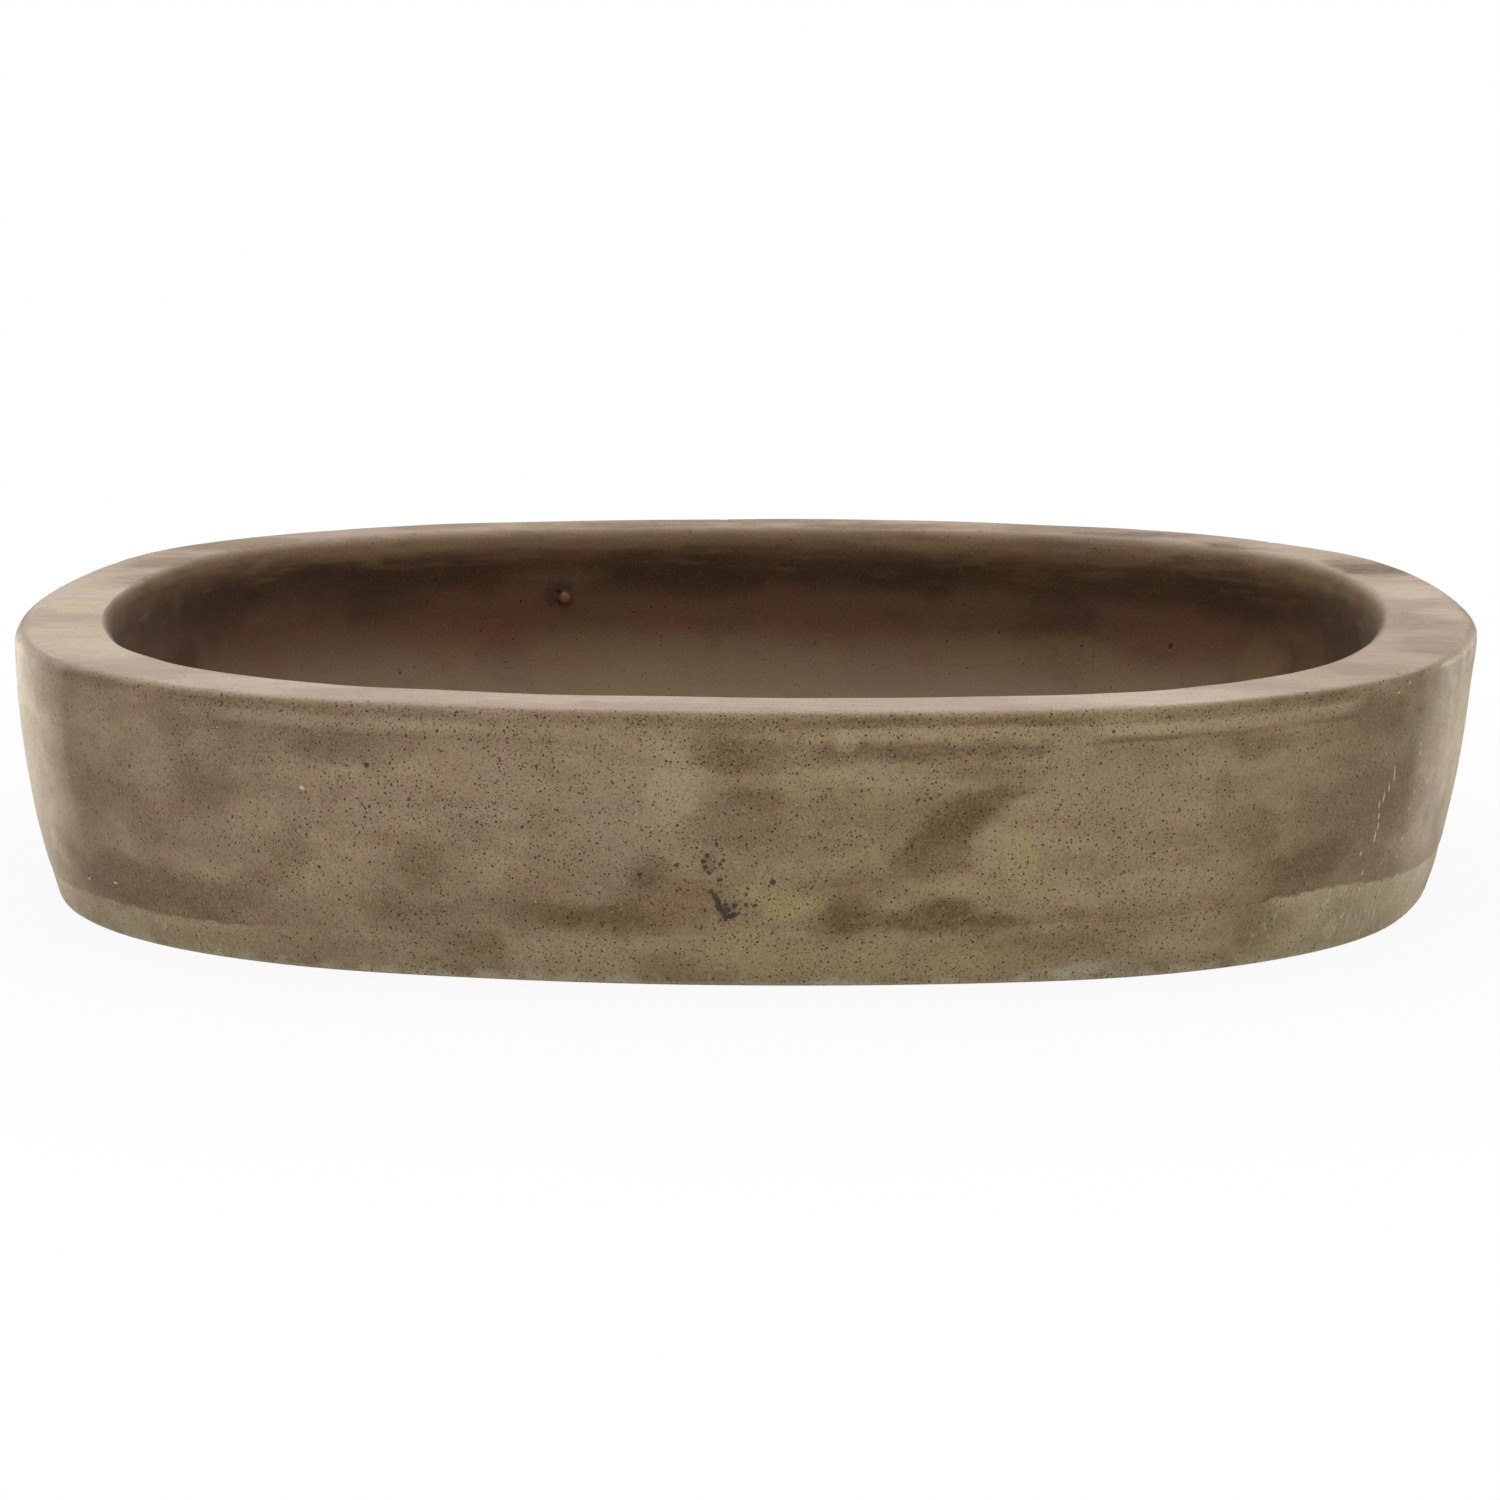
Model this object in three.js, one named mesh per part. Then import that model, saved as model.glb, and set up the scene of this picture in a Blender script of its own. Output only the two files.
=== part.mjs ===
// A low cast concrete bowl planter, in millimetres, +Z up.
// It is one casting: a nearly square bowl with broad round corners, a thick flat rim, outer walls
// that bow in towards the base, a cavity with a deep fillet round its floor, and a drain hole.
// The origin is at the middle of the underside, and the sides face along X and Y.
import * as THREE from "three";

// Plan of the rim's outer edge: four bowed sides, joined by four corner arcs that they meet smoothly.
const WIDTH = 610; // across the rim, from side to side
const CORNER_RADIUS = 217; // of each round corner
const SIDE_TURN = 29.2; // degrees that each bowed side turns through, from corner to corner

// Outer wall, from the rim down to the base.
const HEIGHT = 109; // from the ground to the flat of the rim
const WALL_LEAN = 0.65; // degrees that the wall leans in just under the rim
const WALL_BOW_RADIUS = 370; // of the wall's bow from top to bottom
const OUTER_LIP_RADIUS = 3; // where the rim meets the outer wall
const BASE_EDGE_RADIUS = 2.5; // where the outer wall meets the underside

// Cavity for the soil.
const RIM_WIDTH = 40; // from the outer wall to the cavity, at the top
const INNER_LIP_RADIUS = 4.5; // where the rim meets the cavity
const FLOOR_THICKNESS = 33; // of the concrete under the cavity
const CAVITY_DRAFT = 4; // degrees that the cavity's wall leans in towards its floor
const FLOOR_FILLET_RADIUS = 40; // where the cavity's wall meets its floor

// Drain hole in the middle of the floor.
const DRAIN_RADIUS = 12.5; // at the underside
const DRAIN_DRAFT = 2; // degrees that the hole widens towards the top

// Number of flat facets along each curve.
const SIDE_FACETS = 8;
const CORNER_FACETS = 16;
const WALL_FACETS = 6;
const LIP_FACETS = 4;
const BASE_EDGE_FACETS = 2;
const FLOOR_FILLET_FACETS = 6;

const CONCRETE_COLOR = 0x877760;
const CONCRETE_ROUGHNESS = 0.6;

const { sin, cos, tan, atan, PI } = Math;
const QUARTER_TURN = PI / 2;
const radians = THREE.MathUtils.degToRad;

// Centres and radius of the side arcs: they and the corner arcs share a tangent at the joints.
const halfWidth = WIDTH / 2;
const halfSideTurn = radians(SIDE_TURN / 2);
const sideRadius =
  (halfWidth - CORNER_RADIUS * (cos(halfSideTurn) - sin(halfSideTurn))) /
  (1 - cos(halfSideTurn) + sin(halfSideTurn));
const sideOffset = halfWidth - sideRadius; // of a side arc's centre from the middle, towards its side
const cornerOffset = (sideRadius - CORNER_RADIUS) * sin(halfSideTurn); // of a corner arc's centre, in x and y

// The arcs of one quarter of the plan, each turned from the last: half a side, a corner, half a side.
const quarterArcs = [
  { x: sideOffset, y: 0, radius: sideRadius, from: 0, to: halfSideTurn, facets: SIDE_FACETS / 2 },
  {
    x: cornerOffset,
    y: cornerOffset,
    radius: CORNER_RADIUS,
    from: halfSideTurn,
    to: QUARTER_TURN - halfSideTurn,
    facets: CORNER_FACETS,
  },
  {
    x: 0,
    y: sideOffset,
    radius: sideRadius,
    from: QUARTER_TURN - halfSideTurn,
    to: QUARTER_TURN,
    facets: SIDE_FACETS / 2,
  },
];

// Directions round the plan: each has the way its outline faces and the arc that it belongs to.
const directions = [];
for (let quarter = 0; quarter < 4; quarter += 1) {
  for (const arc of quarterArcs) {
    for (let facet = 0; facet < arc.facets; facet += 1) {
      const angle = arc.from + ((arc.to - arc.from) * facet) / arc.facets;
      directions.push({ angle, arc, turn: quarter * QUARTER_TURN });
    }
  }
}

function placed(x, y, z, turn) {
  return new THREE.Vector3(x * cos(turn) - y * sin(turn), x * sin(turn) + y * cos(turn), z);
}

// A ring of points that follows the rim's outline at a steady distance inside it.
function insetRing({ inset, z }) {
  return directions.map(({ angle, arc, turn }) => {
    const radius = arc.radius - inset;
    return placed(arc.x + radius * cos(angle), arc.y + radius * sin(angle), z, turn);
  });
}

function drainRing(z) {
  const radius = DRAIN_RADIUS + z * tan(radians(DRAIN_DRAFT));
  return directions.map(({ angle, turn }) => placed(radius * cos(angle), radius * sin(angle), z, turn));
}

// How far the outer wall has come in at a depth below the rim, and the angle that it faces down there.
function wallInset(depth) {
  return depth * tan(radians(WALL_LEAN)) + depth ** 2 / (2 * WALL_BOW_RADIUS);
}

function wallTilt(depth) {
  return atan(tan(radians(WALL_LEAN)) + depth / WALL_BOW_RADIUS);
}

// A rounded edge of the section: angles are measured up from facing straight out of the bowl.
function roundedEdge({ inset, z, radius, from, to, facets }) {
  return Array.from({ length: facets + 1 }, (_, i) => {
    const angle = from + ((to - from) * i) / facets;
    return { inset: inset - radius * cos(angle), z: z + radius * sin(angle) };
  });
}

function baseEdge() {
  const tilt = wallTilt(HEIGHT - BASE_EDGE_RADIUS);
  const topOfEdge = BASE_EDGE_RADIUS * (1 - sin(tilt));
  return roundedEdge({
    inset: wallInset(HEIGHT - topOfEdge) + BASE_EDGE_RADIUS * cos(tilt),
    z: BASE_EDGE_RADIUS,
    radius: BASE_EDGE_RADIUS,
    from: -QUARTER_TURN,
    to: -tilt,
    facets: BASE_EDGE_FACETS,
  });
}

function outerLip() {
  const tilt = wallTilt(OUTER_LIP_RADIUS);
  const depth = OUTER_LIP_RADIUS * (1 + sin(tilt));
  return roundedEdge({
    inset: wallInset(depth) + OUTER_LIP_RADIUS * cos(tilt),
    z: HEIGHT - OUTER_LIP_RADIUS,
    radius: OUTER_LIP_RADIUS,
    from: -tilt,
    to: QUARTER_TURN,
    facets: LIP_FACETS,
  });
}

function outerWall() {
  const bottom = BASE_EDGE_RADIUS * (1 - sin(wallTilt(HEIGHT - BASE_EDGE_RADIUS)));
  const top = HEIGHT - OUTER_LIP_RADIUS * (1 + sin(wallTilt(OUTER_LIP_RADIUS)));
  return Array.from({ length: WALL_FACETS - 1 }, (_, i) => {
    const z = bottom + ((top - bottom) * (i + 1)) / WALL_FACETS;
    return { inset: wallInset(HEIGHT - z), z };
  });
}

// The inner lip's top stands RIM_WIDTH from the outer edge where it has turned to face the cavity.
function innerLip() {
  return roundedEdge({
    inset: RIM_WIDTH - INNER_LIP_RADIUS,
    z: HEIGHT - INNER_LIP_RADIUS,
    radius: INNER_LIP_RADIUS,
    from: QUARTER_TURN,
    to: PI - radians(CAVITY_DRAFT),
    facets: LIP_FACETS,
  });
}

function floorFillet() {
  const draft = radians(CAVITY_DRAFT);
  const lipEnd = innerLip().at(-1);
  const top = FLOOR_THICKNESS + FLOOR_FILLET_RADIUS * (1 - sin(draft));
  const wallThere = lipEnd.inset + (lipEnd.z - top) * tan(draft);
  return roundedEdge({
    inset: wallThere + FLOOR_FILLET_RADIUS * cos(draft),
    z: FLOOR_THICKNESS + FLOOR_FILLET_RADIUS,
    radius: FLOOR_FILLET_RADIUS,
    from: -draft,
    to: -QUARTER_TURN,
    facets: FLOOR_FILLET_FACETS,
  });
}

// The casting's skin, ring by ring: out across the underside, up the outer wall, over the rim,
// down into the cavity, in across its floor, and down the drain hole to where it began.
function castingRings() {
  const section = [...baseEdge(), ...outerWall(), ...outerLip(), ...innerLip(), ...floorFillet()];
  return [drainRing(0), ...section.map(insetRing), drainRing(FLOOR_THICKNESS)];
}

// One closed skin through a loop of rings, each ring itself a loop of points.
function closedSkin(rings) {
  const around = rings[0].length;
  const positions = rings.flat().flatMap((point) => point.toArray());
  const faces = [];
  rings.forEach((_, i) => {
    const here = i * around;
    const next = ((i + 1) % rings.length) * around;
    for (let j = 0; j < around; j += 1) {
      const k = (j + 1) % around;
      faces.push(here + j, here + k, next + k, here + j, next + k, next + j);
    }
  });
  const geometry = new THREE.BufferGeometry();
  geometry.setAttribute("position", new THREE.Float32BufferAttribute(positions, 3));
  geometry.setIndex(faces);
  geometry.computeVertexNormals();
  return geometry;
}

const concrete = new THREE.MeshStandardMaterial({
  color: CONCRETE_COLOR,
  roughness: CONCRETE_ROUGHNESS,
  metalness: 0,
});

const bowlCasting = new THREE.Mesh(closedSkin(castingRings()), concrete);
bowlCasting.name = "bowl_casting";

const planter = new THREE.Group();
planter.add(bowlCasting);

export default planter;
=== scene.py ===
import math

import bmesh
import bpy
import numpy as np
from mathutils import Matrix, Vector
from mathutils.kdtree import KDTree


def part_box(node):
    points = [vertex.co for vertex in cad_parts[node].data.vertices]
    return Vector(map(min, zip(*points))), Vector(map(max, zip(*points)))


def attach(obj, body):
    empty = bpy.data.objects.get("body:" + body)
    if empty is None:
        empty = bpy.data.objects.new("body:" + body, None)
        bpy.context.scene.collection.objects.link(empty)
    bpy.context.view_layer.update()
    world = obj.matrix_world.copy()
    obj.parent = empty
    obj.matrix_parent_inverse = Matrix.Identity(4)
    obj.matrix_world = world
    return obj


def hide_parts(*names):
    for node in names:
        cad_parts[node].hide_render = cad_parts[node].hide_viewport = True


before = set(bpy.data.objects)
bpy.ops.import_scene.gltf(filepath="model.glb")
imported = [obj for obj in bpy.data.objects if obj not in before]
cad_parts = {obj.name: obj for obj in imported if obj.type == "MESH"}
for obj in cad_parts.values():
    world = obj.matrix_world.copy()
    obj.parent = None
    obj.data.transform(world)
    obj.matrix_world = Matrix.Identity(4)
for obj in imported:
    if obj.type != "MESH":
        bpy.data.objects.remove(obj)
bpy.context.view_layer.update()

# The bowl's own sizes, in metres. The first two come from the frame; the rest shape its skin.
LOW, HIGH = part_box("bowl_casting")
HALF_WIDTH = (HIGH.x - LOW.x) / 2
HEIGHT = HIGH.z - LOW.z
CORNER_RADIUS = 0.217
SIDE_TURN = math.radians(29.2)
WALL_LEAN = math.radians(0.65)
WALL_BOW_RADIUS = 0.370
OUTER_LIP_RADIUS = 0.003
BASE_EDGE_RADIUS = 0.0025
RIM_WIDTH = 0.040
INNER_LIP_RADIUS = 0.0045
FLOOR_THICKNESS = 0.033
CAVITY_DRAFT = math.radians(4)
FLOOR_FILLET_RADIUS = 0.040
DRAIN_RADIUS = 0.0125
DRAIN_DRAFT = math.radians(2)
DRAIN_EDGE_RADIUS = 0.0015

# Columns of faces round the bowl, for each bowed side and each round corner.
SIDE_COLUMNS = 76
CORNER_COLUMNS = 74
# Rings of faces, from the drain hole out under the bowl, over the rim and back to the drain hole.
UNDERSIDE_RINGS = 7
BASE_EDGE_RINGS = 5
LOW_WALL_RINGS = 21
LOW_WALL_TOP = 0.034
HIGH_WALL_RINGS = 25
OUTER_LIP_RINGS = 9
RIM_RINGS = 9
INNER_LIP_RINGS = 10
CAVITY_WALL_RINGS = 10
FLOOR_FILLET_RINGS = 14
FLOOR_RINGS = 11
DRAIN_RINGS = 6

QUARTER_TURN = math.pi / 2


def metres(*sizes):
    """Sizes of the tables below, which are in millimetres."""
    return [size / 1000 for size in sizes]


def steps(count):
    return np.linspace(0, 1, count + 1)


def smooth_step(low, high, value):
    share = np.clip((value - low) / (high - low), 0, 1)
    return share * share * (3 - 2 * share)


def turn_between(bearings, degrees):
    """Degrees from each bearing (in radians) to one given in degrees, the short way round."""
    return np.abs((np.degrees(bearings) - degrees + 180) % 360 - 180)


def bell(distance, reach):
    return np.exp(-((distance / reach) ** 2))


# ---- The outline of the bowl, and the section that runs round it ----

# Bearings are degrees round the bowl from +X: the photographed side is at -90.
# Where the outer lip is worn rounder: bearing, reach in degrees, extra radius.
WORN_LIPS = [(180, 45, 0.0050), (128, 26, 0.0045), (8, 28, 0.0040), (-62, 14, 0.0008)]
# Where the inner lip is cast rounder.
SOFT_INNER_LIPS = [(126, 35, 0.0095), (54, 40, 0.0100)]
# Where the rim sags: bearing, reach in degrees, drop.
RIM_SAGS = [(118, 22, 0.0010), (176, 16, 0.0007), (12, 16, 0.0009), (-90, 20, -0.0003)]
# Where the wall bulges: bearing, reach in degrees, height, reach in height, how far out.
WALL_BULGES = [
    (-176, 42, 0.109, 0.040, -0.0009),
    (-4, 26, 0.104, 0.014, 0.0013),
    (-12, 30, 0.012, 0.007, 0.0005),
    (-140, 20, 0.030, 0.014, 0.0004),
    (60, 30, 0.070, 0.030, 0.0006),
    (150, 25, 0.040, 0.025, -0.0005),
]


def outline_columns():
    """Per column: the centre and radius of its arc, and the way that the wall faces there."""
    half_turn = SIDE_TURN / 2
    side_radius = (HALF_WIDTH - CORNER_RADIUS * (math.cos(half_turn) - math.sin(half_turn))) / (
        1 - math.cos(half_turn) + math.sin(half_turn)
    )
    side_offset = HALF_WIDTH - side_radius
    corner_offset = (side_radius - CORNER_RADIUS) * math.sin(half_turn)
    corner_end = QUARTER_TURN - half_turn
    arcs = [
        (side_offset, 0, side_radius, 0, half_turn, SIDE_COLUMNS // 2),
        (corner_offset, corner_offset, CORNER_RADIUS, half_turn, corner_end, CORNER_COLUMNS),
        (0, side_offset, side_radius, corner_end, QUARTER_TURN, SIDE_COLUMNS // 2),
    ]
    columns = []
    for turn in (0, QUARTER_TURN, 2 * QUARTER_TURN, 3 * QUARTER_TURN):
        for x, y, radius, start, end, count in arcs:
            centre_x = x * math.cos(turn) - y * math.sin(turn)
            centre_y = x * math.sin(turn) + y * math.cos(turn)
            for i in range(count):
                facing = turn + start + (end - start) * i / count
                columns.append((centre_x, centre_y, radius, facing))
    return np.array(columns)


COLUMN_X, COLUMN_Y, COLUMN_RADIUS, COLUMN_FACING = outline_columns().T
OUT_X, OUT_Y = np.cos(COLUMN_FACING), np.sin(COLUMN_FACING)


def outline_at(inset):
    """The point of each column that lies so far in from the outline."""
    reach = COLUMN_RADIUS - inset
    return COLUMN_X + reach * OUT_X, COLUMN_Y + reach * OUT_Y


COLUMN_BEARING = np.arctan2(*reversed(outline_at(0)))


def wall_inset(depth):
    return depth * math.tan(WALL_LEAN) + depth**2 / (2 * WALL_BOW_RADIUS)


def wall_tilt(depth):
    return np.arctan(math.tan(WALL_LEAN) + depth / WALL_BOW_RADIUS)


def lip_radius(radius, places):
    """Radius of a lip in each column, from its least and the places where it is rounder."""
    radius = np.full_like(COLUMN_BEARING, radius)
    for bearing, reach, extra in places:
        radius += extra * bell(turn_between(COLUMN_BEARING, bearing), reach)
    return radius


class Section:
    """Rings of the bowl's skin, in order. Each has a distance inside the outline, a height, the
    tilt of the skin, and its shares of rim, cavity and underside. A ring's circle is how far it
    has turned from the bowl's outline into the drain hole's."""

    def __init__(self):
        self.rings = []

    def add(self, inset, z, tilt, rim=0.0, cavity=0.0, under=0.0, circle=0.0):
        shape = [np.broadcast_to(value, COLUMN_BEARING.shape) for value in (inset, z, tilt)]
        self.rings.append((*shape, (rim, cavity, under), circle))

    def arc(self, inset, z, radius, start, end, count, shares, hollow=False):
        for share in steps(count):
            angle = start + (end - start) * share
            tilt = angle + math.pi if hollow else angle
            rim, cavity, under = shares(share)
            edge = inset - radius * np.cos(angle)
            self.add(edge, z + radius * np.sin(angle), tilt, rim, cavity, under)


def add_underside(section):
    tilt = wall_tilt(HEIGHT - BASE_EDGE_RADIUS)
    edge_top = BASE_EDGE_RADIUS * (1 - math.sin(tilt))
    inset = wall_inset(HEIGHT - edge_top) + BASE_EDGE_RADIUS * math.cos(tilt)
    for share in steps(UNDERSIDE_RINGS)[:-1]:
        section.add(inset, 0, -QUARTER_TURN, under=1, circle=1 - share)
    section.arc(
        inset, BASE_EDGE_RADIUS, BASE_EDGE_RADIUS, -QUARTER_TURN, -tilt, BASE_EDGE_RINGS,
        lambda share: (0, 0, 1 - share),
    )
    return edge_top


def add_outer_wall(section, bottom):
    """Close rings near the base, where the mould line runs, then wider ones up to the lip."""
    lip = lip_radius(OUTER_LIP_RADIUS, WORN_LIPS)
    tilt = wall_tilt(lip)
    top = HEIGHT - lip * (1 + np.sin(tilt))
    low = [bottom + (LOW_WALL_TOP - bottom) * share for share in steps(LOW_WALL_RINGS)[1:]]
    high = [LOW_WALL_TOP + (top - LOW_WALL_TOP) * share for share in steps(HIGH_WALL_RINGS)[1:-1]]
    for z in low + high:
        section.add(wall_inset(HEIGHT - z), z, -wall_tilt(HEIGHT - z))
    section.arc(
        wall_inset(HEIGHT - top) + lip * np.cos(tilt), HEIGHT - lip, lip, -tilt, QUARTER_TURN,
        OUTER_LIP_RINGS,
        lambda share: (smooth_step(0.3, 0.8, share), 0, 0),
    )


def add_rim(section):
    start = section.rings[-1][0]
    lip = lip_radius(INNER_LIP_RADIUS, SOFT_INNER_LIPS)
    end = RIM_WIDTH - lip
    for share in steps(RIM_RINGS)[1:-1]:
        section.add(start + (end - start) * share, HEIGHT, QUARTER_TURN, rim=1)
    section.arc(
        end, HEIGHT - lip, lip, QUARTER_TURN, math.pi - CAVITY_DRAFT, INNER_LIP_RINGS,
        lambda share: (1 - smooth_step(0.02, 0.62, share), smooth_step(0.02, 0.62, share), 0),
    )


def add_cavity(section):
    lip_inset, lip_z = section.rings[-1][:2]
    fillet_top = FLOOR_THICKNESS + FLOOR_FILLET_RADIUS * (1 - math.sin(CAVITY_DRAFT))
    for share in steps(CAVITY_WALL_RINGS)[1:-1]:
        z = lip_z + (fillet_top - lip_z) * share
        inset = lip_inset + (lip_z - z) * math.tan(CAVITY_DRAFT)
        section.add(inset, z, math.pi - CAVITY_DRAFT, cavity=1)
    wall_end = lip_inset + (lip_z - fillet_top) * math.tan(CAVITY_DRAFT)
    section.arc(
        wall_end + FLOOR_FILLET_RADIUS * math.cos(CAVITY_DRAFT),
        FLOOR_THICKNESS + FLOOR_FILLET_RADIUS, FLOOR_FILLET_RADIUS, -CAVITY_DRAFT, -QUARTER_TURN,
        FLOOR_FILLET_RINGS, lambda share: (0, 1, 0), hollow=True,
    )
    floor_inset = section.rings[-1][0]
    for share in steps(FLOOR_RINGS)[1:]:
        section.add(floor_inset, FLOOR_THICKNESS, QUARTER_TURN, cavity=1, circle=share)


def bowl_section():
    section = Section()
    add_outer_wall(section, add_underside(section))
    add_rim(section)
    add_cavity(section)
    return section.rings


def drain_rings():
    """Heights and flare of the rings down the drain hole, with its worn edges."""
    edge = DRAIN_EDGE_RADIUS
    corner = [math.radians(angle) for angle in (60, 30, 0)]
    lifts = [(edge * (1 - math.sin(angle)), edge * (1 - math.cos(angle))) for angle in corner]
    straight = np.linspace(FLOOR_THICKNESS - edge, edge, DRAIN_RINGS + 1)[1:-1]
    rings = [(FLOOR_THICKNESS - lift, flare) for lift, flare in lifts]
    rings += [(z, 0) for z in straight]
    rings += [(lift, flare) for lift, flare in reversed(lifts)]
    return rings


def drain_circle(z, flare):
    radius = DRAIN_RADIUS + z * math.tan(DRAIN_DRAFT) + flare
    return radius * np.cos(COLUMN_BEARING), radius * np.sin(COLUMN_BEARING)


def hand_made(places, facings):
    """Moves the true form a little, where the real bowl is worn, sags or bulges."""
    height = places[..., 2]
    high = smooth_step(0.080, HEIGHT, height)
    for bearing, reach, drop in RIM_SAGS:
        places[..., 2] -= drop * high * bell(turn_between(COLUMN_BEARING, bearing), reach)
    upward = np.clip(facings[..., 2], -1, 1)
    outside = np.stack([OUT_X, OUT_Y], axis=1)
    facing_out = (facings[..., :2] * outside).sum(axis=-1) + 0.4 * upward
    for bearing, reach, level, spread, out in WALL_BULGES:
        near = bell(turn_between(COLUMN_BEARING, bearing), reach) * bell(height - level, spread)
        push = out * near * smooth_step(0.0, 0.4, facing_out)
        places[..., :2] += push[..., None] * outside


def bowl_points():
    """Arrays over rings and columns: places, facings, and the three zone shares."""
    places, facings, zones = [], [], []
    for inset, z, tilt, shares, circle in bowl_section():
        x, y = outline_at(inset)
        hole_x, hole_y = drain_circle(z, DRAIN_EDGE_RADIUS)
        x, y = x + (hole_x - x) * circle, y + (hole_y - y) * circle
        places.append(np.stack([x, y, z], axis=1))
        out = np.cos(tilt)
        facings.append(np.stack([out * OUT_X, out * OUT_Y, np.sin(tilt)], axis=1))
        zones.append(np.tile(shares, (len(x), 1)))
    for z, flare in drain_rings():
        x, y = drain_circle(z, flare)
        places.append(np.stack([x, y, np.full_like(x, z)], axis=1))
        inward = [-np.cos(COLUMN_BEARING), -np.sin(COLUMN_BEARING), np.zeros_like(x)]
        facings.append(np.stack(inward, axis=1))
        zones.append(np.tile((0.0, 1.0, 0.0), (len(x), 1)))
    places, facings, zones = np.array(places), np.array(facings), np.array(zones)
    hand_made(places, facings)
    return places, facings, zones


def at_bearing(bearing, inset, height):
    """The point at a bearing in degrees, so far in from the outline, at a height."""
    x, y = outline_at(inset)
    nearest = np.argsort(turn_between(np.arctan2(y, x), bearing))[0]
    length = math.hypot(x[nearest], y[nearest])
    angle = math.radians(bearing)
    return (length * math.cos(angle), length * math.sin(angle), height)


def wall_place(bearing, height):
    return at_bearing(bearing, wall_inset(HEIGHT - height), height)


def cavity_place(bearing, height):
    inset = RIM_WIDTH + (HEIGHT - INNER_LIP_RADIUS - height) * math.tan(CAVITY_DRAFT)
    centre = FLOOR_THICKNESS + FLOOR_FILLET_RADIUS
    if height < centre:
        drop = (centre - height) / FLOOR_FILLET_RADIUS
        inset += FLOOR_FILLET_RADIUS * (1 - math.sqrt(max(0, 1 - drop * drop)))
    return at_bearing(bearing, inset, height)


def rim_place(bearing, inset):
    return at_bearing(bearing, inset, HEIGHT)


# ---- Hand-made relief of the skin ----


def waves(places, length, seed, stretch=(1, 1, 1)):
    """A smooth random swell of about -1 to 1, whose humps are about length apart."""
    rng = np.random.default_rng(seed)
    count = 14
    ways = rng.normal(size=(count, 3))
    ways /= np.linalg.norm(ways, axis=1, keepdims=True)
    turns = 2 * math.pi / (length * rng.uniform(0.7, 1.5, count))
    starts = rng.uniform(0, 2 * math.pi, count)
    phase = (places / np.array(stretch)) @ (ways * turns[:, None]).T + starts
    return np.sin(phase).sum(axis=-1) / math.sqrt(count / 2) / 1.6


# The mould line: below it the wall steps in a little. It climbs towards +X, and dips at its end.
MOULD_LINE_HEIGHT = 0.0205
MOULD_LINE_CLIMB = 0.026
MOULD_LINE_DIP = 0.0085
MOULD_STEP = 0.00035
MOULD_STEP_AT_RIGHT = 0.00055

# The underside's swells stay this far clear of the ground.
UNDERSIDE_LIFT = 0.00009


def mould_line_height(places):
    x = places[..., 0]
    dip = MOULD_LINE_DIP * smooth_step(0.245, 0.300, x)
    return MOULD_LINE_HEIGHT + MOULD_LINE_CLIMB * x - dip + 0.0008 * waves(places, 0.09, 5)


def relief(places, zones):
    """How far the skin stands out from the true form, in metres."""
    rim, cavity, under = np.moveaxis(zones, -1, 0)
    wall = np.clip(1 - rim - cavity - under, 0, 1)
    swell = 0.00020 * waves(places, 0.11, 1) + 0.00005 * waves(places, 0.03, 2)
    swell += 0.00002 * waves(places, 0.012, 3)
    hollow = 0.0005 * waves(places, 0.09, 4) + 0.0001 * waves(places, 0.028, 6)
    trowel = 0.00018 * waves(places, 0.10, 7) + 0.00005 * waves(places, 0.018, 8, (3, 1, 1))
    below = smooth_step(0.0012, -0.0008, places[..., 2] - mould_line_height(places))
    step = MOULD_STEP + (MOULD_STEP_AT_RIGHT - MOULD_STEP) * smooth_step(0.15, 0.27, places[..., 0])
    underside = 0.15 * swell - UNDERSIDE_LIFT
    out = swell * wall + underside * under + hollow * cavity + trowel * rim
    return out + step * (0.3 - below) * wall


# Air holes that show from a step away: bearing, then height, radius and depth in millimetres.
# The clump on the photographed side comes first, then a few lone ones.
CLUMP_HOLES = [
    (-89.75, 52.8, 1.1, 0.7), (-89.95, 50.8, 0.9, 0.6), (-89.85, 48.2, 1.1, 0.8),
    (-89.6, 46.2, 0.9, 0.7), (-88.7, 56, 0.7, 0.4), (-88.55, 53.5, 0.6, 0.4), (-88.5, 51.2, 0.8, 0.5),
    (-88.85, 49.5, 0.9, 0.7), (-89.15, 50.5, 0.6, 0.5), (-89.1, 57.5, 0.8, 0.5), (-88.75, 43.3, 1, 0.6),
    (-88.35, 45.2, 0.6, 0.4), (-89.5, 38.5, 1, 0.5), (-89.25, 36.8, 1.1, 0.6), (-89, 35.8, 1.2, 0.6),
    (-88.95, 34, 1.3, 0.7), (-88.8, 32, 1.6, 0.9), (-88.55, 30.3, 1.6, 0.9), (-88.38, 28.6, 1.4, 0.8),
    (-88.05, 28.9, 1.2, 0.7), (-87.75, 29.3, 1.1, 0.7), (-87.5, 29.9, 0.9, 0.6), (-87.7, 33, 1.1, 0.8),
    (-88.2, 31.2, 1.3, 0.7), (-88.45, 33.3, 1, 0.6), (-89.1, 32.8, 0.8, 0.5), (-86.9, 33.4, 0.8, 0.5),
    (-86.2, 33, 0.8, 0.5), (-86.15, 35, 0.7, 0.5), (-84.9, 42.8, 1.3, 0.8), (-86.9, 37.2, 0.8, 0.5),
    (-91.95, 49, 1, 0.6), (-94.7, 45.2, 0.9, 0.6), (-114.4, 84, 1.1, 0.7),
]
LONE_HOLES = 22
LONE_HOLE_SEED = 21

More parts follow.
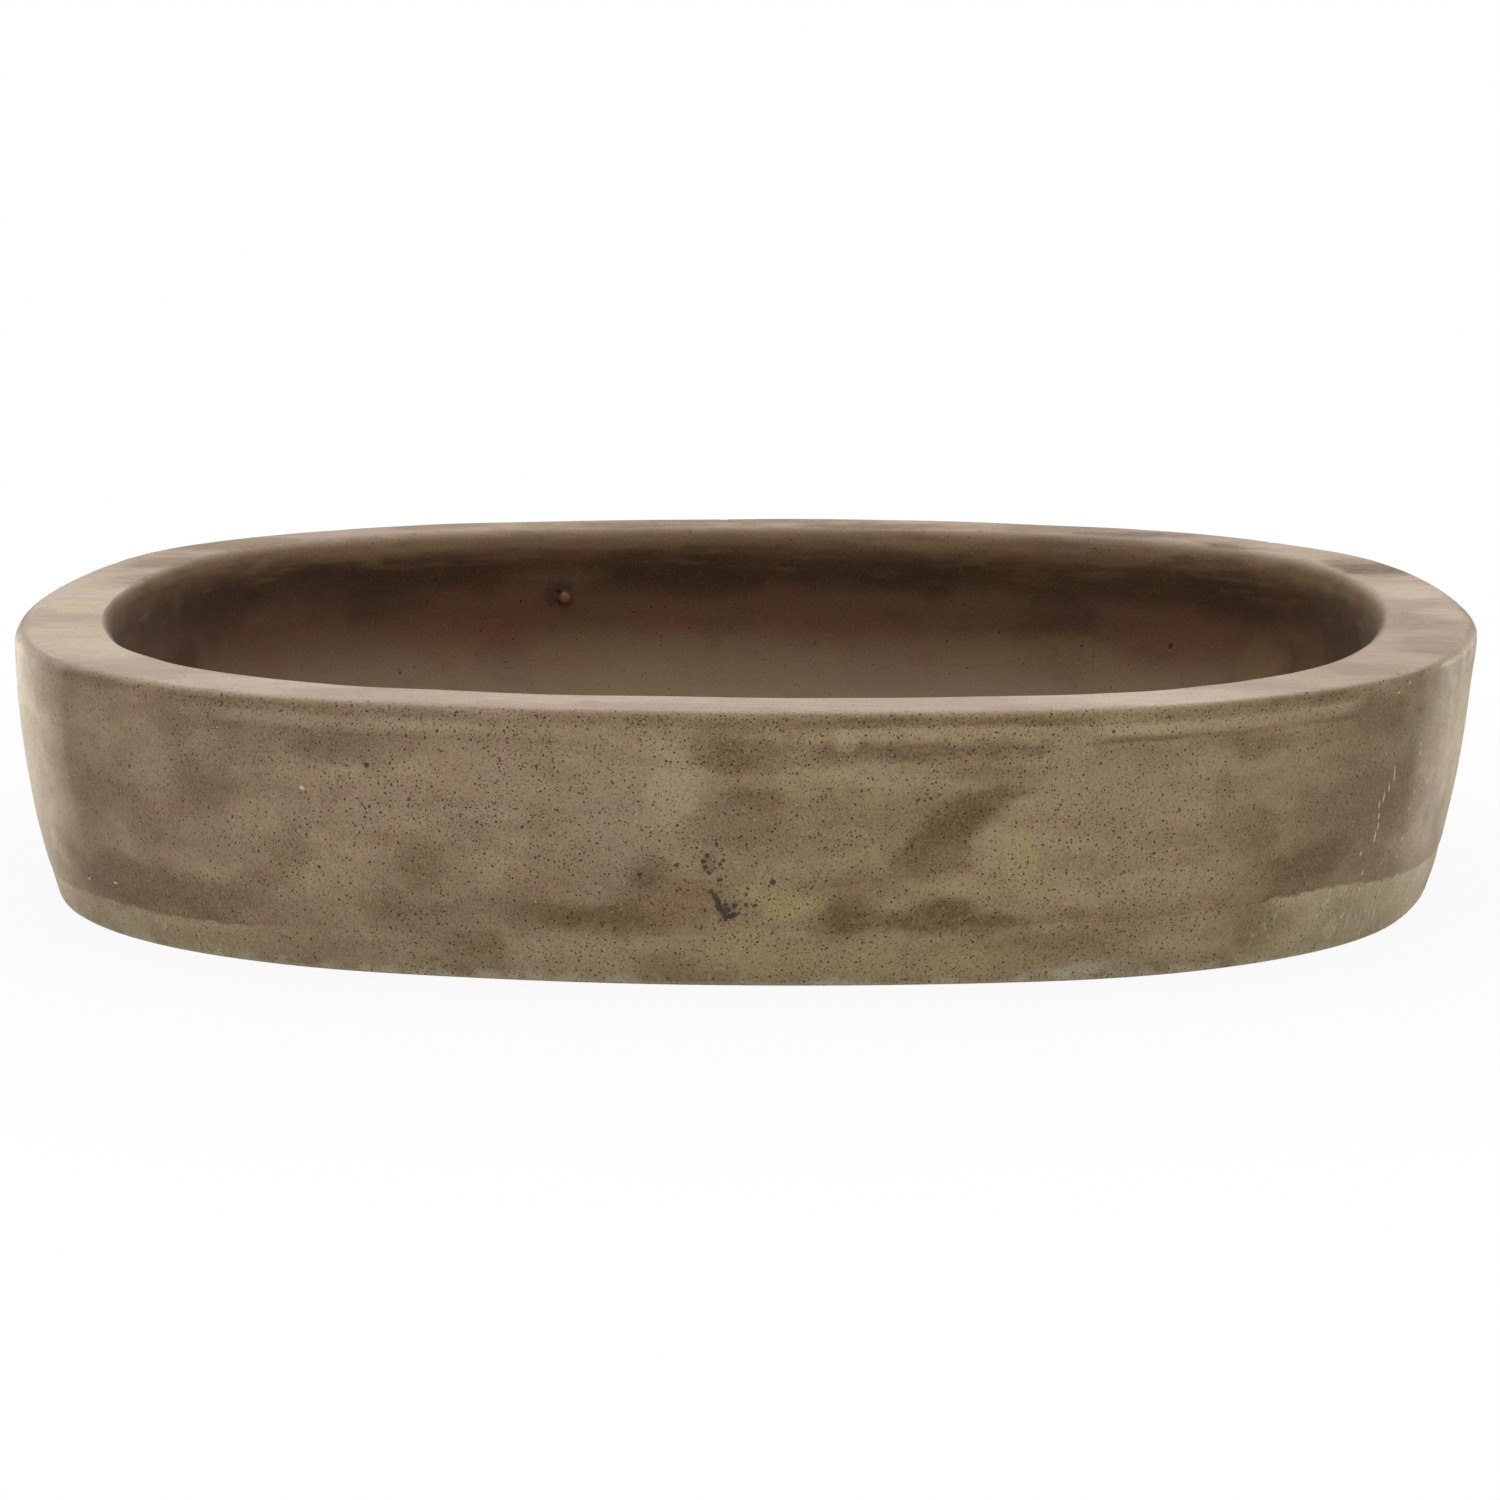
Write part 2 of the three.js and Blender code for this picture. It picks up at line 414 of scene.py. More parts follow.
# The lump on the cavity's far wall, whose depth is below 0 because it stands out, and holes there.
CAVITY_NUB = (110.9, 77, 2.8, -2)
CAVITY_PITS = [(111.5, 79.6, 1.3, 0.6), (128, 48, 0.9, 0.7), (50.5, 63, 1.1, 0.8)]

# Chips out of the lips: bearing, then distance in from the outer edge, radius and depth.
LIP_CHIPS = [
    (4, 1.8, 2.2, 0.7), (8.5, 2.4, 2.6, 0.9), (11, 1.6, 1.8, 0.7), (-31, 1.2, 1.6, 0.6),
    (-34, 1, 1.3, 0.5), (46, 2, 2, 0.7), (151, 2.2, 2.4, 0.8), (-128, 1, 1.4, 0.5), (95, 2.2, 2.2, 0.8),
    (-200, 2, 2, 0.6),
]

# How the mesh is made finer round a mark, and how far past its radius the mark reaches.
MARK_MARGIN = 0.0026
MARK_CUTS = 4
MARK_REACH = 1.6


def lone_holes():
    rng = np.random.default_rng(LONE_HOLE_SEED)
    holes = []
    for _ in range(LONE_HOLES):
        radius = rng.uniform(0.5, 0.7)
        holes.append((rng.uniform(-180, 180), rng.uniform(10, 102), radius, radius * 0.7))
    return holes


def skin_marks():
    """Every hole, chip and lump: its place, radius, depth, and how dark it is inside, which in the
    holes is partly painted shade.
    """
    marks = []
    for place, dark, rows in (
        (wall_place, 1, CLUMP_HOLES + lone_holes()), (rim_place, 0, LIP_CHIPS),
        (cavity_place, 1, CAVITY_PITS), (cavity_place, 0, [CAVITY_NUB]),
    ):
        for bearing, *sizes in rows:
            where, radius, depth = metres(*sizes)
            marks.append((place(bearing, where), radius, depth, dark))
    return marks


def cut_marks(mesh):
    """Makes the mesh finer round each mark, then presses the mark in along the skin's normal."""
    marks = skin_marks()
    bm = bmesh.new()
    bm.from_mesh(mesh)
    centres = KDTree(len(bm.faces))
    bm.faces.ensure_lookup_table()
    for face in bm.faces:
        centres.insert(face.calc_center_median(), face.index)
    centres.balance()
    near = set()
    for place, radius, _, _ in marks:
        faces = centres.find_range(Vector(place), radius + MARK_MARGIN)
        near.update(index for _, index, _ in faces)
    edges = {edge for index in near for edge in bm.faces[index].edges}
    bmesh.ops.subdivide_edges(bm, edges=list(edges), cuts=MARK_CUTS, use_grid_fill=True)
    bm.normal_update()
    bm.verts.ensure_lookup_table()
    points = KDTree(len(bm.verts))
    for vert in bm.verts:
        points.insert(vert.co, vert.index)
    points.balance()
    hole_share = bm.verts.layers.float.new("hole_share")
    moves = {}
    for place, radius, depth, dark in marks:
        _, start, _ = points.find(Vector(place))
        middle = bm.verts[start].co
        for co, index, distance in points.find_range(middle, radius * MARK_REACH):
            ripple = math.sin(4100 * co.x + 2300 * co.z) * math.cos(3700 * co.z - 1900 * co.x)
            ragged = 1 + 0.22 * ripple
            share = float(smooth_step(1.35, 0.45, distance / radius * ragged))
            if abs(depth * share) > abs(moves.get(index, 0)):
                moves[index] = -depth * share
            vert = bm.verts[index]
            vert[hole_share] = max(vert[hole_share], share * dark)
    normals = {index: bm.verts[index].normal.copy() for index in moves}
    for index, move in moves.items():
        bm.verts[index].co += normals[index] * move
    bm.to_mesh(mesh)
    bm.free()


def hold(mesh, name, values, kind="FLOAT"):
    """Keeps a value for each point of the mesh, where the shader can read it."""
    field = "value" if kind == "FLOAT" else "color"
    mesh.attributes.new(name, kind, "POINT").data.foreach_set(field, values.ravel())


def bowl_mesh():
    places, facings, zones = bowl_points()
    places = places + facings * relief(places, zones)[..., None]
    rings, around = places.shape[:2]
    index = np.arange(rings * around).reshape(rings, around)
    here, beside = index, np.roll(index, -1, axis=1)
    above, across = np.roll(here, -1, axis=0), np.roll(beside, -1, axis=0)
    faces = np.stack([here, beside, across, above], axis=-1).reshape(-1, 4)
    mesh = bpy.data.meshes.new("bowl_skin")
    mesh.from_pydata(places.reshape(-1, 3).tolist(), [], faces.tolist())
    for name, share in zip(("rim", "cavity", "underside"), np.moveaxis(zones, -1, 0)):
        hold(mesh, name + "_share", share)
    cut_marks(mesh)
    mesh.shade_smooth()
    mesh.validate()
    paint_stains_and_painted_light(mesh)
    paint_lines(mesh)
    return mesh


# ---- Shader helpers ----


def tone(red, green, blue):
    """A colour as it looks on screen, from 0 to 255, as the linear colour that shaders take."""
    parts = [part / 255 for part in (red, green, blue)]
    return (*(p / 12.92 if p <= 0.04045 else ((p + 0.055) / 1.055) ** 2.4 for p in parts), 1.0)


class Value:
    """An output of a node. Arithmetic with it adds nodes to its tree."""

    def __init__(self, tree, socket):
        self.tree = tree
        self.socket = socket

    def math(self, operation, *others):
        values = dict(enumerate((self, *others)))
        return put(self.tree, "Math", values, operation=operation)[0]

    def __add__(self, other):
        return self.math("ADD", other)

    def __mul__(self, other):
        return self.math("MULTIPLY", other)

    __radd__ = __add__
    __rmul__ = __mul__

    def __sub__(self, other):
        return self.math("SUBTRACT", other)

    def __rsub__(self, other):
        return self.math("MULTIPLY_ADD", -1.0, other)

    def __truediv__(self, other):
        return self.math("DIVIDE", other)

    def __rtruediv__(self, other):
        return put(self.tree, "Math", {0: other, 1: self}, operation="DIVIDE")[0]

    def ramp(self, low, high, out_low=0.0, out_high=1.0):
        """Runs smoothly from out_low to out_high while this one goes from low to high."""
        ends = {"From Min": low, "From Max": high, "To Min": out_low, "To Max": out_high}
        values = {"Value": self, **ends}
        return put(self.tree, "MapRange", values, interpolation_type="SMOOTHSTEP")["Result"]

    def vector(self, operation, other=(0, 0, 0)):
        return put(self.tree, "VectorMath", {0: self, 1: other}, operation=operation)["Vector"]

    def length(self):
        return put(self.tree, "VectorMath", {0: self}, operation="LENGTH")["Value"]


class Outputs:
    """The outputs of a node, by name or number."""

    def __init__(self, tree, node):
        self.tree = tree
        self.node = node

    def __getitem__(self, key):
        return Value(self.tree, self.node.outputs[key])


def feed(tree, socket, value):
    """Sets a socket to a value, or links it where the value is another node's output."""
    if isinstance(value, Value):
        tree.links.new(value.socket, socket)
    else:
        socket.default_value = value


def put(tree, kind, values=(), **settings):
    """Adds a node, with its settings and the values of its inputs by name or number."""
    node = tree.nodes.new("ShaderNode" + kind)
    for name, value in settings.items():
        setattr(node, name, value)
    for key, value in dict(values).items():
        feed(tree, node.inputs[key], value)
    return Outputs(tree, node)


def blend(share, under, over):
    return put(share.tree, "Mix", {0: share, 6: under, 7: over}, data_type="RGBA")[2]


def clouds(place, size, start=(0, 0, 0), stretch=(1, 1, 1), detail=3.0, roughness=0.55):
    """Soft noise whose blotches are about size metres across, and longer where stretch is over 1."""
    shrink = tuple(1 / part for part in stretch)
    vector = place.vector("MULTIPLY", shrink).vector("ADD", start)
    values = {"Vector": vector, "Scale": 1 / size, "Detail": detail, "Roughness": roughness}
    return put(place.tree, "TexNoise", values)["Fac"]


def sway(place, reach, *shape, **more):
    """Soft noise of about -reach to reach, of the shape that clouds is given."""
    return clouds(place, *shape, **more).math("MULTIPLY_ADD", 2 * reach, -reach)


def wandering(place, reach, size):
    """The place, pushed about by noise, so that what is drawn with it has ragged edges."""
    values = {"Vector": place, "Scale": 1 / size, "Detail": 4.0, "Roughness": 0.6}
    push = put(place.tree, "TexNoise", values)["Color"].vector("ADD", (-0.5, -0.5, -0.5))
    return place.vector("ADD", push.vector("MULTIPLY", (2 * reach,) * 3))


def painted(tree, name):
    """What the mesh's points hold under a name."""
    return put(tree, "Attribute", attribute_name=name, attribute_type="GEOMETRY")


def empty_tree(owner):
    owner.use_nodes = True
    owner.node_tree.nodes.clear()
    return owner.node_tree


def new_group(name, inputs, output, output_kind):
    """A shader node group, what it is given, and the socket for what it gives."""
    group = bpy.data.node_groups.new(name, "ShaderNodeTree")
    for socket, kind in inputs.items():
        group.interface.new_socket(socket, in_out="INPUT", socket_type="NodeSocket" + kind)
    group.interface.new_socket(output, in_out="OUTPUT", socket_type="NodeSocket" + output_kind)
    given = Outputs(group, group.nodes.new("NodeGroupInput"))
    return group, given, group.nodes.new("NodeGroupOutput").inputs[output]


def use(tree, group, **values):
    node = tree.nodes.new("ShaderNodeGroup")
    node.node_tree = group
    for name, value in values.items():
        feed(tree, node.inputs[name], value)
    return Value(tree, node.outputs[0])


# ---- Effects of the concrete, as node groups ----


def specks_group():
    """Specks in random places: air holes or sand grains, by how far apart, how many and how big."""
    inputs = {"Place": "Vector", "Spacing": "Float", "Share": "Float", "Radius": "Float"}
    group, given, gives = new_group("specks", inputs, "Mask", "Float")
    per_metre = 1.0 / given["Spacing"]
    values = {"Vector": given["Place"], "Scale": per_metre}
    cell = put(group, "TexVoronoi", values, feature="F1")
    chance = put(group, "SeparateColor", {"Color": cell["Color"]})
    own_size = chance["Green"].math("MULTIPLY_ADD", 0.65, 0.45)
    reach = given["Radius"] * per_metre * own_size
    spot = (cell["Distance"] / reach).ramp(1.15, 0.7)
    there = chance["Red"].math("LESS_THAN", given["Share"])
    feed(group, gives, spot * there)
    return group


def mark_group():
    """Lays one small mark of a tone over a colour. Ragged is noise that eats at its edge."""
    inputs = {
        "Colour": "Color", "Place": "Vector", "Ragged": "Float", "Centre": "Vector",
        "Reach": "Vector", "Strength": "Float", "Tone": "Color",
    }
    group, given, gives = new_group("mark", inputs, "Colour", "Color")
    away = given["Place"].vector("SUBTRACT", given["Centre"])
    far = away.vector("DIVIDE", given["Reach"]).length() + given["Ragged"]
    mask = far.ramp(1.35, 0.65) * given["Strength"]
    feed(group, gives, blend(mask, given["Colour"], given["Tone"]))
    return group


def band_group():
    """A band between two heights, with soft edges."""
    inputs = {"Height": "Float", "Low": "Float", "High": "Float", "Soft": "Float"}
    group, given, gives = new_group("band", inputs, "Mask", "Float")
    above = (given["Height"] - given["Low"]) / given["Soft"]
    under = (given["High"] - given["Height"]) / given["Soft"]
    feed(group, gives, above.ramp(-1, 1) * under.ramp(-1, 1))
    return group


# ---- The concrete's tones and stains, with some painted light and shade ----

MAUVE_GREY = tone(174, 149, 121)
OLIVE_GREY = tone(172, 150, 113)
GREEN_GREY = tone(164, 149, 121)
PALE_OLIVE = tone(188, 170, 134)
YELLOW_OLIVE = tone(182, 164, 116)
DAMP_BROWN = tone(110, 85, 56)
DAMP_OLIVE = tone(109, 90, 52)
DAMP_MAUVE = tone(120, 96, 72)
RUST_BROWN = tone(134, 95, 66)
LIME_BLOOM = tone(224, 213, 188)
CREAM = tone(212, 198, 154)
HOLE_BROWN = tone(70, 36, 8)
PIN_BROWN = tone(90, 56, 26)
CLUMP_GREY = tone(70, 58, 50)
NUB_OCHRE = tone(172, 128, 84)
SAND = tone(216, 198, 166)
GRAIN_DARK = tone(86, 70, 48)
GRAIN_PALE = tone(206, 186, 150)

# Stains of the outer wall, by tone: bearing, then height, half width and half height in
# millimetres, strength and, where it isn't level, how steeply it rises towards +X. Two pale rows
# at the left and right limbs are partly painted light.
WALL_STAINS_AND_LIGHT = {
    DAMP_MAUVE: [
        (-128, 70, 15, 20, 0.6), (-139, 62, 26, 17, 0.55), (-129, 98, 30, 6, 0.4),
        (-117, 91, 40, 6, 0.5), (-86, 64, 22, 16, 0.42), (-52.5, 80, 6, 20, 0.35),
        (-38.5, 58, 50, 22, 0.6), (-36, 77, 20, 10, 0.3), (130, 75, 26, 18, 0.55), (40, 55, 24, 20, 0.6),
    ],
    DAMP_BROWN: [
        (-134, 52, 20, 10, 0.35), (-138, 26, 70, 9.5, 0.66), (-146, 96, 26, 10, 0.45),
        (-111, 46, 9, 9, 0.55), (-113, 30, 13, 8, 0.5), (-121, 47, 12, 9, 0.4), (-94.5, 47, 8, 8, 0.7),
        (-154, 55, 18, 45, 0.4), (-86.5, 77, 16, 7, 0.65), (-74, 93.5, 45, 4.5, 0.75),
        (-70, 84, 14, 5, 0.4), (-73, 53, 12, 9, 0.55), (-70.8, 25, 22, 1.4, 0.6),
        (-41.5, 39, 36, 11, 0.8), (-38.5, 92, 28, 8, 0.6), (-50, 94, 20, 5, 0.45),
        (170, 80, 30, 20, 0.6), (108, 35, 36, 12, 0.7), (75, 90, 30, 7, 0.55), (66, 28, 40, 10, 0.7),
        (8, 78, 26, 14, 0.55),
    ],
    DAMP_OLIVE: [
        (-131, 23, 30, 6, 0.5), (-97, 29, 36, 7.5, 0.85), (-107, 10, 16, 8, 0.6), (-92.5, 6, 10, 6, 0.5),
        (-88, 95, 22, 7, 0.75), (-72, 63.5, 20, 8.5, 0.95, 0.5), (-69.2, 72.5, 13, 3.6, 0.8, 0.15),
        (-72.3, 34.5, 11.5, 6, 0.9), (-71, 26.5, 46, 4.8, 0.8), (-80.2, 27.5, 12, 9, 0.9),
        (-65, 15, 24, 7.5, 0.6), (-47, 16, 13, 13, 0.75), (-49, 58, 18, 12, 0.45),
        (152, 40, 50, 14, 0.7), (84, 60, 16, 12, 0.7, 0.5), (30, 90, 24, 8, 0.5), (20, 30, 30, 14, 0.65),
    ],
    RUST_BROWN: [
        (-122, 34, 12, 6, 0.35), (-92.5, 31, 20, 9, 0.5), (-37.5, 43, 12, 8, 0.5), (50, 45, 14, 10, 0.5),
    ],
    GREEN_GREY: [
        (-97, 66, 15, 24, 0.7), (-103, 80, 18, 12, 0.35), (-60, 74, 34, 16, 0.45),
        (-42, 13, 16, 10, 0.35), (163, 30, 30, 14, 0.55), (96, 80, 20, 14, 0.6),
    ],
    PALE_OLIVE: [
        (-92.5, 77, 10, 18, 0.55), (-103.5, 13, 10, 6, 0.4), (-122, 13, 14, 5, 0.35),
        (-80, 98, 5, 5, 0.75), (-58, 37, 34, 7.5, 0.55), (-54, 10, 20, 6, 0.4), (-31, 15, 24, 12, 0.6),
        # The rows at -168 and -12 are partly painted light on the left and right limbs.
        (-168, 60, 50, 30, 0.45), (118, 55, 18, 14, 0.6, 0.3), (58, 78, 30, 10, 0.5),
        (-12, 55, 30, 25, 0.35),
    ],
    YELLOW_OLIVE: [
        (-84.3, 35, 11, 7, 0.85), (-87.5, 19, 18, 6, 0.5), (-86.5, 10, 30, 7, 0.45),
        (-67.2, 48, 8, 10, 0.75), (-70.5, 42, 20, 3.5, 0.5), (-75, 8, 60, 5.5, 0.5),
        (141, 88, 30, 10, 0.55), (0, 40, 20, 12, 0.45),
    ],
    LIME_BLOOM: [(-35, 6, 26, 5, 0.55), (-139.5, 7, 16, 4, 0.55), (-62, 3.5, 24, 2.5, 0.55)],
}

# Level lines of the outer wall: bearing of the middle, half reach and softness in degrees, and
# strength.
WIPED_STRIPS = [
    (-51, 11, 1.2, 0.85), (-112, 15, 6, 0.3), (-80, 8, 5, 0.3), (40, 16, 5, 0.6), (150, 12, 5, 0.5),
    (95, 9, 4, 0.4), (-8, 8, 4, 0.4),
]
# Where the painted shadow under the outer lip shows.
UNDER_LIP_SHADOW_LINES = [
    (-81, 19, 4, 0.9), (-125, 24, 8, 0.5), (-50, 11, 3, 0.6), (178, 20, 10, 0.6), (70, 25, 10, 0.55),
    (15, 12, 6, 0.5),
]
MOULD_LINES = [
    (-141, 17, 8, 0.58), (-31, 16, 5, 1), (-80, 48, 10, 0.14), (62, 24, 12, 0.5), (125, 20, 12, 0.4),
    (5, 16, 6, 0.45),
]

# White scratches and scuffs of the outer wall: bearing, then height, half width and half height
# in millimetres.
SCRATCH_STRENGTH = 0.95
SCRATCHES = [
    (-34.1, 69, 0.55, 4.2), (-34.7, 64, 0.55, 1.8), (-35.3, 60.5, 0.55, 2.8), (-35.8, 58, 0.55, 1.5),
    (-35.6, 53, 0.55, 1.5), (-35.5, 49, 0.55, 1.8), (-35.7, 45, 0.55, 3.2), (-37.3, 39, 0.55, 1.3),
    (-36.5, 30.5, 0.55, 1.3), (-36.3, 22, 0.55, 4.5), (-36.8, 16.5, 0.55, 2), (-29.9, 78, 0.55, 1.2),
    (-29.8, 74, 0.55, 1.2), (-29.9, 58, 0.55, 1.3), (-30.4, 52, 0.55, 1.2), (-30.8, 40, 0.55, 1.5),
    (-31.2, 33.5, 0.55, 1.3), (-27, 60, 0.55, 1.5), (-26, 86, 0.55, 2.5), (-143.5, 21, 2, 0.5),
    (-139, 23, 1.6, 0.5), (-38, 13, 1.2, 0.5), (-119.3, 73.5, 1, 0.8), (-34.6, 102, 1.2, 0.5),
    (-32.9, 105, 1, 0.6), (73, 60, 4, 0.4), (140, 52, 4, 0.4),
]
# Small spots of the outer wall: the same, then strength and tone.
WALL_SPOTS = [
    (-89.6, 49.5, 3, 4, 0.3, CLUMP_GREY), (-88.45, 30.5, 4.2, 4.2, 0.38, CLUMP_GREY),
    (-39.2, 9, 4.2, 4.5, 0.9, CREAM),
]

RIM_ROSE = tone(205, 181, 166)
RIM_SAND = tone(215, 193, 172)
RIM_PALE = tone(244, 226, 204)
RIM_YELLOW = tone(242, 219, 172)
# A dark tone for the rim's stains and streaks, also used for painted shade on the inner lip.
RIM_STAIN_AND_SHADE = tone(122, 101, 82)
RIM_OLIVE = tone(136, 116, 82)

# Stains of the rim, by tone: bearing, then distance in from the outer edge, half length and half
# width in millimetres, and strength. The first two dark rows are painted shade on the inner lip.
RIM_STAINS_AND_SHADE = {
    RIM_STAIN_AND_SHADE: [
        # The first two rows are painted shade where the inner lip turns down into the cavity.
        (48, 39, 40, 8, 0.8), (138, 39, 40, 7, 0.5), (-128, 3, 36, 4, 0.4), (-148, 3, 36, 4, 0.35),
        (166, 36, 20, 8, 0.5), (58, 28, 34, 14, 0.8), (94, 10, 70, 14, 0.5), (29, 18, 28, 22, 0.85),
        (-6, 28, 34, 16, 0.34), (-20, 8, 40, 12, 0.34), (-34, 20, 30, 12, 0.3),
    ],
    RIM_PALE: [
        (-156, 20, 40, 30, 0.55), (178, 20, 60, 30, 0.7), (-150, 24, 60, 20, 0.65),
        (44, 12, 16, 10, 0.5), (14, 18, 24, 12, 0.6), (2, 10, 24, 10, 0.4), (-56, 22, 60, 18, 0.65),
        (-100, 28, 70, 12, 0.45), (-126, 20, 50, 16, 0.55),
    ],
    RIM_YELLOW: [(-176, 24, 20, 10, 0.75), (172, 22, 18, 8, 0.55), (-158, 26, 28, 12, 0.6)],
    RIM_ROSE: [(-168, 10, 20, 8, 0.5)],
    RIM_OLIVE: [
        (155, 34, 40, 10, 0.55), (140, 30, 60, 12, 0.6), (104, 28, 60, 12, 0.75), (80, 28, 70, 12, 0.75),
        (66, 12, 50, 14, 0.45), (120, 12, 50, 14, 0.45),
    ],
}
# White scuffs of the rim: bearing, then distance in, half length and half width.
RIM_SCUFF_STRENGTH = 0.65
RIM_SCUFFS = [
    (19.5, 20, 5, 0.7), (15, 26, 4, 1), (11.5, 14, 5, 1.6), (10.2, 21, 3, 0.9), (5, 30, 2.2, 1.2),
    (8, 6, 3, 1.2), (22, 8, 4, 0.6), (-35, 4, 1, 0.8), (-33, 3, 1, 0.7), (47, 10, 6, 0.6),
    (160, 12, 3, 0.5), (-100, 20, 6, 0.4),
]

# A dark tone for the cavity's stains and streaks, also used for painted shade under the inner lip.
CAVITY_DARK = tone(70, 48, 33)
CAVITY_RUST = tone(136, 90, 66)
CAVITY_OLIVE = tone(146, 121, 84)
CAVITY_PALE = tone(138, 114, 90)

# Stains of the cavity, by tone: as for the outer wall. The first two dark rows are painted shade
# just under the inner lip.
CAVITY_STAINS_AND_SHADE = {
    CAVITY_DARK: [
        # The first two rows are painted shade just under the inner lip.
        (47, 100, 34, 8, 0.65), (137, 100, 30, 8, 0.4), (130, 86, 50, 12, 0.45), (150, 83, 40, 14, 0.55),
        (160, 70, 30, 14, 0.45), (97, 88, 44, 8, 0.6), (77, 88, 24, 8, 0.5), (44, 84, 24, 14, 0.6),
        (20, 80, 40, 14, 0.55), (62, 76, 22, 10, 0.4), (-90, 60, 80, 20, 0.55),
    ],
    CAVITY_RUST: [
        (116, 70, 34, 12, 0.4), (122, 60, 26, 10, 0.5), (100, 66, 20, 10, 0.45), (48, 68, 30, 12, 0.32),
        (86, 66, 30, 10, 0.35), (-150, 60, 60, 18, 0.5),
    ],
    CAVITY_OLIVE: [
        (104, 52, 60, 9, 0.35), (84, 53, 10, 9, 0.6), (63, 56, 40, 7, 0.5), (38, 62, 18, 12, 0.6),
        (56, 50, 30, 8, 0.5), (74, 101, 30, 3, 0.45), (135, 101, 50, 3, 0.35), (-40, 70, 50, 16, 0.5),
    ],
    CAVITY_PALE: [(112, 84, 20, 7, 0.35), (70, 74, 30, 10, 0.35)],
}

# The tones that are laid last, over the damp ones. The first layer also carries painted shade on
# the inner lip, and this one painted light on the wall's limbs.
LATE_LAYER_TONES = (
    GREEN_GREY, PALE_OLIVE, YELLOW_OLIVE, LIME_BLOOM, RIM_PALE, RIM_YELLOW, CAVITY_OLIVE,
    CAVITY_PALE,
)


def wall_patch(bearing, height, wide, high, strength, rise=0):
    height, wide, high = metres(height, wide, high)
    return wall_place(bearing, height), (wide, wide, high), strength, rise


def rim_patch(bearing, inset, length, width, strength):
    inset, length, width = metres(inset, length, width)
    along_x = abs(math.sin(math.radians(bearing)))
    along_y = 1 - along_x
    reach = (length * along_x + width * along_y, width * along_x + length * along_y, 0.030)
    return rim_place(bearing, inset), reach, strength, 0


def cavity_patch(bearing, height, wide, high, strength):
    height, wide, high = metres(height, wide, high)
    return cavity_place(bearing, height), (wide, wide, high), strength, 0


def all_stains_and_painted_light():
    """Every patch of colour, painted light and painted shade included: its zone, tone, centre, reach,
    strength and rise.
    """
    return [
        (zone, patch_tone, *to_patch(*row))
        for zone, to_patch, by_tone in (
            ("wall", wall_patch, WALL_STAINS_AND_LIGHT), ("rim", rim_patch, RIM_STAINS_AND_SHADE),
            ("cavity", cavity_patch, CAVITY_STAINS_AND_SHADE),
        )
        for patch_tone, rows in by_tone.items()
        for row in rows
    ]


def point_places(mesh):
    places = np.empty(len(mesh.vertices) * 3, dtype=np.float32)
    mesh.vertices.foreach_get("co", places)
    return places.reshape(-1, 3).astype(float)


def point_values(mesh, name):
    values = np.empty(len(mesh.vertices), dtype=np.float32)
    mesh.attributes[name].data.foreach_get("value", values)
    return values


# A patch's edge is at 1. Points out of reach of every patch, or in another zone, are this far off.
OUT_OF_REACH = 3.0


def paint_stains_and_painted_light(mesh):
    """Paints the patches on the mesh's points in two layers, damp and bloom. The damp layer also holds
    painted shade on the inner lip, and the bloom layer painted light on the wall's limbs. A point
    holds how far it is from the nearest patch (1 is the patch's edge), and that patch's tone and
    strength."""
    places = point_places(mesh)
    drift = [
        0.0024 * waves(places, 0.05, seed) + 0.0012 * waves(places, 0.016, seed + 9)
        for seed in (31, 32, 33)
    ]
    places = places + np.stack(drift, axis=1)
    zones = {name: point_values(mesh, name + "_share") for name in ("rim", "cavity", "underside")}
    zones["wall"] = 1 - zones["rim"] - zones["cavity"] - zones["underside"]
    patches = all_stains_and_painted_light()
    for layer in ("damp", "bloom"):
        nearest = np.full(len(places), OUT_OF_REACH)
        weight = np.full(len(places), 1e-9)
        paint = np.zeros((len(places), 4))
        for zone, patch_tone, centre, reach, strength, rise in patches:
            if (patch_tone in LATE_LAYER_TONES) != (layer == "bloom"):
                continue
            away = places - centre
            away[:, 2] -= rise * away[:, 0]
            far = np.linalg.norm(away / reach, axis=1) + OUT_OF_REACH * (1 - zones[zone])
            near = np.exp(-4 * far)
            weight += near
            paint += near[:, None] * np.array((*patch_tone[:3], strength))
            nearest = np.minimum(nearest, far)
        hold(mesh, layer + "_far", nearest)
        hold(mesh, layer + "_tone", paint / weight[:, None], "FLOAT_COLOR")


def line_share(bearings, lines):
    """How strongly a level line shows at each bearing."""
    share = np.zeros_like(bearings)
    for middle, reach, soft, strength in lines:
        near = smooth_step(reach + soft, reach - soft, turn_between(bearings, middle))
        share = np.maximum(share, strength * near)
    return share


def paint_lines(mesh):
    """Holds on the mesh's points how strongly each level line shows there, and the height of the
    point over the mould line."""
    places = point_places(mesh)
    bearings = np.arctan2(places[:, 1], places[:, 0])
    values = {
        "wiped_share": line_share(bearings, WIPED_STRIPS),
        "under_lip_shadow_share": line_share(bearings, UNDER_LIP_SHADOW_LINES),
        "mould_share": line_share(bearings, MOULD_LINES),
        "over_mould_line": places[:, 2] - mould_line_height(places),
    }
    for name, value in values.items():
        hold(mesh, name, value)


